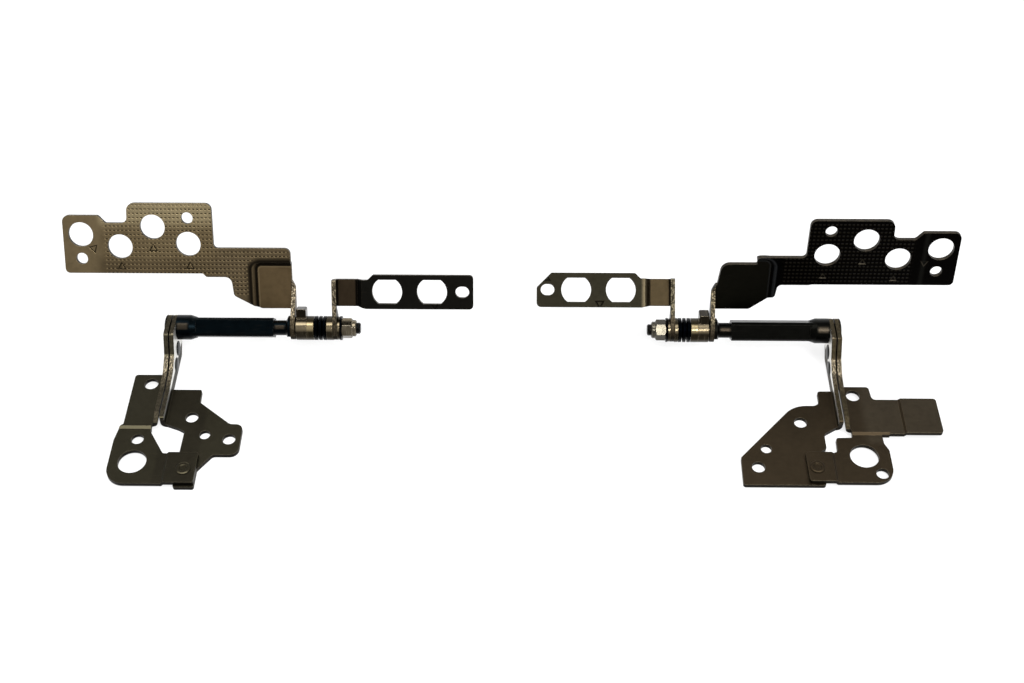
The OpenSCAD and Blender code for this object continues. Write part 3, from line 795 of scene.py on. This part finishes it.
@dataclass(frozen=True)
class TurnedFinish:
    """Turned steel: rings of fine tool marks round the shaft's line, with a film or bare.
    A higher film on the side facing front and up paints a highlight, and a lower one beside it
    paints shade. The bands paint highlights along lengths of the shaft, and past lug_from from the
    shaft's line the film is the lug's."""

    film: Colour
    worn: Colour
    roughness: float
    rings: float = 7.0
    ring_depth: float = 0.002
    wear: float = 0.5
    along: bool = False
    bands: Tuple[Tuple[Span, Colour], ...] = ()
    # gains of the painted highlight and of the painted shade beside it
    highlight_gain: float = 1.0
    flank_shade: float = 1.0
    lug_from: float = 0.0
    lug: Colour = (0.010, 0.008, 0.005)
    rounding: float = 0.09

    def build(self, title: str, hand: Hand) -> bpy.types.Material:
        """Makes the material.

        Args:
            title: the material's name.
            hand: the hinge it belongs to, as the bands are counted inwards from its seam.

        Returns:
            The material.
        """
        graph = Graph.of_material(title)
        place = graph.vector("MULTIPLY", graph.coordinates.outputs["Object"], (1 / MM,) * 3)
        tool_stretch = (0.08, 1.0, 1.0) if self.along else (1.0, 0.04, 0.04)
        tool = graph.noise(place, self.rings, 3.0, tool_stretch)
        smudge = graph.noise(place, 0.7, 4.0)
        normal, edge = graph.rounded_edges(self.rounding)
        dull = graph.smooth(smudge, 0.3, 0.75)
        colour = graph.mix(dull, self.film, scaled(self.film, 0.62))
        colour = self._paint_highlights(graph, place, colour, hand)
        scratches = graph.product(graph.smooth(tool, 0.58, 0.8), 0.3 * self.wear)
        colour = graph.mix(scratches, colour, self.worn)
        chips = graph.smooth(graph.noise(place, 9.0), 0.3, 0.6, 0.5, 1.0)
        colour = graph.mix(graph.product(edge, chips, self.wear), colour, self.worn)
        normal = graph.bump(tool, self.ring_depth, normal, 0.8)
        rough = graph.math("ADD", self.roughness - 0.05, graph.product(smudge, 0.14))
        graph.finish_metal(colour, rough, normal)
        return graph.owner

    def _paint_highlights(self, graph: Graph, place: Socket, colour: Socket, hand: Hand) -> Socket:
        """Paints a highlight facing front and up, with shade beside it and highlight bands, and
        darkens the lug.

        Args:
            graph: the material's tree.
            place: position in millimetres.
            colour: the film's colour.
            hand: the hinge it belongs to.

        Returns:
            The colour with its painted highlights and shade, and the darker lug.
        """
        toward_highlight = graph.vector("DOT_PRODUCT", graph.coordinates.outputs["Normal"], HIGHLIGHT_SIDE)
        # painted shade on the flanks beside the highlight
        if self.flank_shade != 1.0:
            side = graph.product(graph.smooth(toward_highlight, 0.5, 0.62), graph.smooth(toward_highlight, 0.94, 0.88))
            colour = graph.mix(side, colour, scaled(self.film, self.flank_shade))
        # painted highlight on the side facing front and up
        if self.highlight_gain != 1.0:
            highlight_mask = graph.smooth(toward_highlight, 0.91, 0.995)
            colour = graph.mix(highlight_mask, colour, scaled(self.film, self.highlight_gain))
        if self.lug_from:
            out = graph.vector("SUBTRACT", place, (0.0, 0.0, AXIS_HEIGHT))
            out = graph.vector("LENGTH", graph.vector("MULTIPLY", out, (0.0, 1.0, 1.0)))
            on_lug = graph.smooth(out, self.lug_from, self.lug_from + 0.2)
            colour = graph.mix(on_lug, colour, self.lug)
        inwards = graph.product(graph.split(place)[0], float(hand.value))
        station = graph.math("ADD", inwards, SEAM_X)
        # painted highlights along the bands' lengths of the shaft
        for span, tone in self.bands:
            band = graph.product(graph.within(station, span, 0.6),
                                 graph.smooth(toward_highlight, 0.945, 0.995))
            colour = graph.mix(band, colour, tone)
        return colour


# The two hinges wear the same plating. Each plate finish below is a copy of it made lighter or
# darker to paint how the light falls on that plate.
LIT_OLIVE_PLATE = SheetFinish(
    film=(0.120, 0.090, 0.048), shade=(0.084, 0.061, 0.032), edge=(0.030, 0.023, 0.013),
    rim=(0.17, 0.135, 0.08), torn_and_glint=(0.26, 0.215, 0.145), mark=(0.0120, 0.0090, 0.0048),
    roughness=0.40, wear=0.5, ridge_highlight_share=0.36)
LIT_GREY_PLATE = SheetFinish(
    film=(0.0097, 0.0087, 0.0056), shade=(0.0067, 0.0059, 0.0037), edge=(0.025, 0.019, 0.012),
    rim=(0.08, 0.065, 0.042), torn_and_glint=(0.10, 0.085, 0.055), roughness=0.40)
SHADED_BLACK_PLATE = SheetFinish(
    film=(0.0008, 0.0005, 0.0003), shade=(0.0004, 0.0002, 0.0001), edge=(0.032, 0.025, 0.016),
    rim=(0.05, 0.042, 0.03), torn_and_glint=(0.20, 0.165, 0.105), dash_painted_tone=(0.0100, 0.0086, 0.0060),
    mark=(0.075, 0.064, 0.045), roughness=0.42, wear=0.5)
SHADED_DARK_PLATE = SheetFinish(
    film=(0.0055, 0.0051, 0.0042), shade=(0.0039, 0.0036, 0.0030), edge=(0.028, 0.022, 0.014),
    rim=(0.07, 0.058, 0.038), torn_and_glint=(0.26, 0.215, 0.145), fold_painted_share=0.15)
SHADED_FOOT_PLATE = SheetFinish(
    film=(0.0172, 0.0154, 0.0097), shade=(0.0131, 0.0115, 0.0072), edge=(0.034, 0.029, 0.019),
    rim=(0.12, 0.10, 0.066), torn_and_glint=(0.28, 0.235, 0.16), fold_painted_tone=9.0, fold_painted_share=0.85,
    fold_front=True)
LIT_WARM_FOOT_PLATE = SheetFinish(
    film=(0.0236, 0.0172, 0.0101), shade=(0.0178, 0.0130, 0.0076), edge=(0.043, 0.034, 0.019),
    rim=(0.13, 0.107, 0.068), torn_and_glint=(0.26, 0.215, 0.145), fold_painted_tone=3.0, fold_painted_share=0.85,
    fold_front=True)
# near-white plating on the walls' inner faces, a painted reflection of the bright surroundings
WALL_INSIDE_SHEEN = LightZone((0.85, 1.3), (-22, 5), (0.93, 0.92, 0.88), 0.1, wall_from=1.25)

# the bands paint highlights on the shaft's collar and neck
BLUE_OXIDE = TurnedFinish(
    film=(0.0013, 0.0024, 0.0031), worn=(0.04, 0.035, 0.028), roughness=0.32, rings=4.0,
    ring_depth=0.006, wear=0.3, along=True,
    bands=(((1.3, 3.3), (0.024, 0.0195, 0.014)), ((20.5, 22.3), (0.021, 0.0165, 0.0115))))
BROWN_OXIDE = replace(BLUE_OXIDE, film=(0.0030, 0.0030, 0.0025))
SPRING_STEEL = TurnedFinish(
    film=(0.0003, 0.0005, 0.0008), worn=(0.006, 0.006, 0.007), roughness=0.34, rings=6.0,
    ring_depth=0.003, wear=0.4)
# The two lock nuts share one plating; these copies are painted lighter and darker for how the light
# falls on each.
SHADED_DARK_NICKEL = TurnedFinish(
    film=(0.055, 0.050, 0.038), worn=(0.40, 0.37, 0.30), roughness=0.16)
LIT_BROWN_NICKEL = TurnedFinish(
    film=(0.105, 0.088, 0.060), worn=(0.62, 0.56, 0.44), roughness=0.16, wear=0.6)
# painted highlight on the front of the washers and collar, painted shade beside it
WARM_NICKEL = TurnedFinish(
    film=(0.036, 0.029, 0.018), worn=(0.26, 0.22, 0.155), roughness=0.17, ring_depth=0.004,
    highlight_gain=3.6, flank_shade=0.38)
LUG_NICKEL = replace(WARM_NICKEL, lug_from=2.6, wear=0.8)
# painted highlight on the front of the ring, painted shade beside it
BRONZE = TurnedFinish(
    film=(0.034, 0.027, 0.015), worn=(0.24, 0.20, 0.125), roughness=0.20, rings=6.0,
    ring_depth=0.005, highlight_gain=6.0, flank_shade=0.38)
DULL_STEEL = TurnedFinish(
    film=(0.010, 0.009, 0.008), worn=(0.10, 0.09, 0.075), roughness=0.24, ring_depth=0.008)


@dataclass(frozen=True)
class CutThread:
    """The turns of thread that stand past a lock nut."""

    hand: Hand
    nut_end: float
    core: float = 1.08
    crest: float = 0.09
    buried: float = 0.15
    pitch: float = 0.32
    half_width: float = 0.36
    length: float = 0.45
    steps_a_turn: int = 28

    def build(self) -> bpy.types.Object:
        """Makes the thread.

        Returns:
            The thread's object, riding on the bases.
        """
        shape = bmesh.new()
        turns = self.length / self.pitch
        steps = int(self.steps_a_turn * turns)
        half = self.half_width * self.pitch
        ridge = ((-half, 0, self.core), (0, 0, self.core + self.crest),
                 (half, 0, self.core), (0, 0, self.core - self.buried))
        start = shape.faces.new([shape.verts.new(corner) for corner in ridge])
        bmesh.ops.spin(shape, geom=[start, *start.edges, *start.verts], cent=(0, 0, 0),
                       axis=(1, 0, 0), angle=2 * math.pi * turns, steps=steps,
                       use_duplicate=False, dvec=(self.pitch * turns / steps, 0, 0))
        bmesh.ops.translate(shape, verts=shape.verts, vec=(self.nut_end + half, 0, 0))
        sign = float(self.hand.value)
        seam = Matrix.Translation((-sign * SEAM_X * MM, 0, AXIS_HEIGHT * MM))
        into_place = seam @ Matrix.Diagonal((sign * MM, MM, MM, 1))
        bmesh.ops.transform(shape, matrix=into_place, verts=shape.verts)
        bmesh.ops.recalc_face_normals(shape, faces=shape.faces)
        mesh = bpy.data.meshes.new(self.hand.prefix + "cut_thread")
        shape.to_mesh(mesh)
        shape.free()
        mesh.materials.append(DULL_STEEL.build(self.hand.prefix + "thread_steel", self.hand))
        for polygon in mesh.polygons:
            polygon.use_smooth = True
        thread = bpy.data.objects.new(mesh.name, mesh)
        bpy.context.scene.collection.objects.link(thread)
        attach(thread, "bases")
        log.info("%s made with %d faces", thread.name, len(mesh.polygons))
        return thread


@dataclass(frozen=True)
class Hinge:
    """One hinge of the pair: where its plates stand and what each sub-part is finished in."""

    hand: Hand
    lid_opening: float
    side_opening: float
    side_ear_at: float
    nut_end: float
    lid_finish: SheetFinish
    side_finish: SheetFinish
    foot_finish: SheetFinish
    oxide: TurnedFinish
    nut_finish: TurnedFinish
    dimples: Dimples
    recess: Recess
    lid_marks: Tuple[Triangle, ...]
    side_marks: Tuple[Triangle, ...]
    # zones of painted light and shade on each plate
    lid_zones: Tuple[LightZone, ...]
    side_zones: Tuple[LightZone, ...]
    foot_zones: Tuple[LightZone, ...]

    def build(self, nodes: Dict[str, bpy.types.Object]) -> None:
        """Dresses this hinge and adds its cut thread.

        Args:
            nodes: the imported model's objects by name.
        """
        for part, material in {**self._plates(), **self._turned_parts()}.items():
            mesh = nodes[self.hand.prefix + part].data
            mesh.materials.clear()
            mesh.materials.append(material)
            log.info("%s%s wears %s", self.hand.prefix, part, material.name)
        CutThread(self.hand, self.nut_end).build()

    def _plates(self) -> Dict[str, bpy.types.Material]:
        """Makes the materials of the folded sheets and the rivet that is plated with them.

        Returns:
            The materials by sub-part.
        """
        name = self.hand.prefix
        base = BaseFrame(self.hand)
        foot_rivet = replace(self.foot_finish, film=self.foot_finish.shade, wear=0.2)
        return {
            "lid_bracket": self.lid_finish.build(
                name + "lid_plating", PlateFrame(self.hand, LID_EAR_AT, self.lid_opening),
                self.dimples, self.lid_marks, self.lid_zones, True, self.recess),
            "side_bracket": self.side_finish.build(
                name + "side_plating", PlateFrame(self.hand, self.side_ear_at, self.side_opening),
                None, self.side_marks, self.side_zones, True),
            "outer_base_bracket": self.foot_finish.build(
                name + "outer_foot_plating", base, zones=self.foot_zones),
            "inner_base_bracket": self.foot_finish.build(
                name + "inner_foot_plating", base, zones=self.foot_zones),
            "foot_rivet": foot_rivet.build(name + "foot_rivet_plating", base),
        }

    def _turned_parts(self) -> Dict[str, bpy.types.Material]:
        """Makes the materials of the wall's rivets, the shaft and the stack on it.

        Returns:
            The materials by sub-part.
        """
        finishes = {
            "wall_rivets": ("rivet_oxide", self.oxide),
            "shaft": ("shaft_oxide", self.oxide),
            "stop_collar": ("stop_collar_nickel", LUG_NICKEL),
            "friction_ring": ("friction_ring_bronze", BRONZE),
            "disc_springs": ("disc_spring_steel", SPRING_STEEL),
            "pressure_washer": ("pressure_washer_nickel", WARM_NICKEL),
            "outer_washer": ("outer_washer_nickel", WARM_NICKEL),
            "end_washer": ("end_washer_steel", SPRING_STEEL),
            "lock_nut": ("lock_nut_nickel", self.nut_finish),
        }
        return {part: finish.build(self.hand.prefix + title, self.hand)
                for part, (title, finish) in finishes.items()}


@dataclass(frozen=True)
class Lamp:
    """A soft square lamp that looks at the part: place and side in metres, power in watts."""

    name: str
    at: Triple
    side: float
    power: float
    looks_at: Triple = (0.0, 0.0, 0.01)

    def hang(self) -> None:
        """Adds the lamp to the scene."""
        light = bpy.data.lights.new(self.name, "AREA")
        light.size = self.side
        light.energy = self.power
        holder = bpy.data.objects.new(self.name, light)
        holder.location = self.at
        aim = Vector(self.looks_at) - Vector(self.at)
        holder.rotation_euler = aim.to_track_quat("-Z", "Y").to_euler()
        bpy.context.scene.collection.objects.link(holder)


@dataclass(frozen=True)
class Studio:
    """Pale floor, soft light and the camera, in metres. The floor's own white grows from the
    first to the second share as it gets further from the part."""

    floor_size: float = 3.0
    floor_drop: float = 0.00002
    floor_grey: float = 0.93
    white_reach: Span = (0.13, 0.35)
    white_share: Span = (0.72, 1.0)
    sky_height: Span = (0.1, 0.95)
    sky_strength: Span = (0.14, 0.65)
    lamps: Tuple[Lamp, ...] = (
        Lamp("key", (0.32, -0.42, 0.62), 0.2, 4.5),
        Lamp("top", (-0.12, 0.0, 0.85), 0.5, 6.0),
        Lamp("back", (0.0, 0.6, 0.5), 0.6, 2.0),
        Lamp("front", (0.05, -0.52, 0.56), 0.1, 1.6),
    )
    lens: float = 51.8
    sensor: float = 36.0
    camera_at: Triple = (0.0059943, -0.2003225, 0.2187074)
    camera_axes: Tuple[Triple, Triple, Triple] = (
        (0.9998876, 0.0136841, -0.0061311),
        (-0.0058713, 0.7335231, 0.6796392),
        (0.0137976, -0.6795268, 0.7335210),
    )

    def build(self) -> None:
        """Makes the floor, the world, the lamps and the camera."""
        self._floor()
        self._world()
        for lamp in self.lamps:
            lamp.hang()
        self._camera()
        bpy.context.scene.view_settings.view_transform = "Standard"

    def _floor(self) -> None:
        """A floor that stays white to the camera and keeps soft shadows."""
        shape = bmesh.new()
        bmesh.ops.create_grid(shape, x_segments=1, y_segments=1, size=self.floor_size / 2)
        mesh = bpy.data.meshes.new("floor")
        shape.to_mesh(mesh)
        shape.free()
        floor = bpy.data.objects.new("floor", mesh)
        floor.location = (0, 0, -self.floor_drop)
        bpy.context.scene.collection.objects.link(floor)
        graph = Graph.of_material("pale_floor")
        diffuse = graph.add("ShaderNodeBsdfDiffuse")
        graph.put_colour(diffuse.inputs["Color"], (self.floor_grey,) * 3)
        glow = graph.add("ShaderNodeEmission")
        graph.put(glow.inputs["Strength"], 1.0)
        reach = graph.vector("LENGTH", graph.coordinates.outputs["Object"])
        share = graph.smooth(reach, *self.white_reach, *self.white_share)
        graph.finish_blend(graph.product(graph.backdrop_rays(), share), diffuse, glow)
        mesh.materials.append(graph.owner)

    def _world(self) -> None:
        """White to the camera and in the metal, softly graded for the light that it gives."""
        world = bpy.data.worlds.new("studio")
        bpy.context.scene.world = world
        graph = Graph(world, "ShaderNodeOutputWorld")
        height = graph.split(graph.coordinates.outputs["Generated"])[2]
        grade = graph.add("ShaderNodeMapRange")
        names = ("Value", "From Min", "From Max", "To Min", "To Max")
        for name, value in zip(names, (height, *self.sky_height, *self.sky_strength)):
            graph.put(grade.inputs[name], value)
        sky, white = (graph.add("ShaderNodeBackground") for _ in range(2))
        for background in (sky, white):
            graph.put_colour(background.inputs["Color"], (1.0, 1.0, 1.0))
        graph.put(sky.inputs["Strength"], grade.outputs[0])
        graph.finish_blend(graph.backdrop_rays(), sky, white)

    def _camera(self) -> None:
        """Sets the camera where the photograph was taken from."""
        camera = bpy.data.cameras.new("camera")
        camera.sensor_width = self.sensor
        camera.lens = self.lens
        camera.clip_start = 0.01
        holder = bpy.data.objects.new("camera", camera)
        turn = Matrix(self.camera_axes).transposed().to_4x4()
        holder.matrix_world = Matrix.Translation(self.camera_at) @ turn
        bpy.context.scene.collection.objects.link(holder)
        bpy.context.scene.camera = holder


def lid_hole_x(reach: float) -> float:
    """Place of a lid bracket's nearest large hole, which lies reach from the ear's middle."""
    return SHEET / 2 - reach


def left_hinge() -> Hinge:
    """Describes the left hinge.

    Returns:
        The hinge with its marks and finishes.
    """
    x = lid_hole_x(20.4)
    whole_side = (0, 20)
    return Hinge(
        hand=Hand.LEFT, lid_opening=120.0, side_opening=124.0, side_ear_at=31.99, nut_end=36.52,
        lid_finish=LIT_OLIVE_PLATE, side_finish=SHADED_DARK_PLATE, foot_finish=SHADED_FOOT_PLATE,
        oxide=BLUE_OXIDE, nut_finish=LIT_BROWN_NICKEL,
        dimples=Dimples((x - 16.6, -0.5), (6.3, 24.4)),
        # painted shade round the recessed tab, painted highlight on its ridge and lip
        recess=Recess(-6.65, 12.0, 0.7, dark=(0.003, 0.0025, 0.0018), light=(0.16, 0.125, 0.073)),
        lid_marks=(
            Triangle(x - 13.4, 11.85),
            Triangle(x - 6.9, 15.6),
            Triangle(x + 0.15, 12.0),
            Triangle(x - 18.7, 15.6, turn=75),
        ),
        side_marks=(Triangle(20.2, 5.1, turn=180),),
        # painted light and shade: lighter top strip and far end, darker low part, neck and tab
        lid_zones=(
            LightZone((x - 30, x + 7), (20.5, 40), (0.240, 0.193, 0.110), 3.0),
            LightZone((x - 30, x - 17.4), (0, 40), (0.140, 0.105, 0.057), 1.5),
            LightZone((x - 18, 10), (0, 13.5), (0.086, 0.063, 0.034), 2.5),
            LightZone((-14.5, 10), (0, 20), (0.089, 0.066, 0.037), 3.0),
            LightZone((-6.75, 10), (-5, 12.05), (0.085, 0.059, 0.030), 0.2),
        ),
        # painted light and shade: lighter arm, shade along the joggle and in the ear's bend
        side_zones=(
            LightZone((-5, 4.7), whole_side, (0.024, 0.0168, 0.0100), 0.5),
            LightZone((4.55, 5.2), whole_side, (0.0022, 0.0018, 0.0014), 0.4),
            LightZone((0.86, 1.2), whole_side, (0.0022, 0.0018, 0.0014), 0.12),
        ),
        # painted shade beside the wall on the inner foot, and the walls' painted inner reflection
        foot_zones=(
            LightZone((0.9, 8.6), (-35.8, 0), (0.0140, 0.0122, 0.0079), 1.0),
            WALL_INSIDE_SHEEN,
        ),
    )


def right_hinge() -> Hinge:
    """Describes the right hinge.

    Returns:
        The hinge with its marks and finishes.
    """
    x = lid_hole_x(21.1)
    whole_side = (0, 20)
    faint = {"size": 0.33, "slant": 0.22}
    return Hinge(
        hand=Hand.RIGHT, lid_opening=101.0, side_opening=140.0, side_ear_at=31.39, nut_end=35.92,
        lid_finish=SHADED_BLACK_PLATE, side_finish=LIT_GREY_PLATE, foot_finish=LIT_WARM_FOOT_PLATE,
        oxide=BROWN_OXIDE, nut_finish=SHADED_DARK_NICKEL,
        dimples=Dimples((x - 16.6, -12.5), (9.0, 24.4)),
        # painted shade round the recessed tab, painted highlight on its ridge and lip
        recess=Recess(-10.35, 14.9, 1.3, dark=(0.0005, 0.0005, 0.0005),
                      light=(0.021, 0.023, 0.025), glow=0.6),
        # the faint triangles' base strokes are painted brighter than their slants, as the light
        # catches them
        lid_marks=(
            Triangle(x - 13.4, 11.3, **faint),
            Triangle(x - 6.9, 15.1, **faint),
            Triangle(x + 0.3, 11.8, **faint),
            Triangle(x - 18.8, 15.0, turn=180, size=0.36, base=0.05, slant=0.3),
        ),
        side_marks=(Triangle(14.8, 5.0, turn=180), Triangle(25.4, 10.0)),
        # painted light: a lighter tab and a narrow lighter strip near the far end
        lid_zones=(
            LightZone((-11.0, 10), (-5, 16), (0.0045, 0.0042, 0.0028), 1.0),
            LightZone((-39.7, -38.9), (7.5, 22), (0.0050, 0.0048, 0.0040), 0.7),
        ),
        # painted light and shade: lighter arm, a highlight beside the joggle, shade along it and in
        # the ear's bend
        side_zones=(
            LightZone((5.35, 6.35), whole_side, (0.062, 0.050, 0.030), 0.8),
            LightZone((4.9, 5.45), whole_side, (0.0125, 0.0088, 0.0045), 0.3),
            LightZone((-5, 4.85), whole_side, (0.0245, 0.0178, 0.0093), 0.3),
            LightZone((4.75, 5.05), whole_side, (0.0024, 0.0018, 0.0011), 0.2),
            LightZone((0.86, 1.1), whole_side, (0.0050, 0.0038, 0.0022), 0.1),
        ),
        # painted light on the foot's tab, and the walls' painted inner reflection
        foot_zones=(
            LightZone((-40, -4), (-24.5, 0), (0.034, 0.0268, 0.0174), 2.0),
            WALL_INSIDE_SHEEN,
        ),
    )


def main() -> None:
    """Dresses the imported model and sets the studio."""
    logging.basicConfig(level=logging.INFO, format="%(name)s: %(message)s")
    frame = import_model()
    for hinge in (left_hinge(), right_hinge()):
        hinge.build(frame["nodes"])
    Studio().build()


if __name__ == "__main__":
    main()
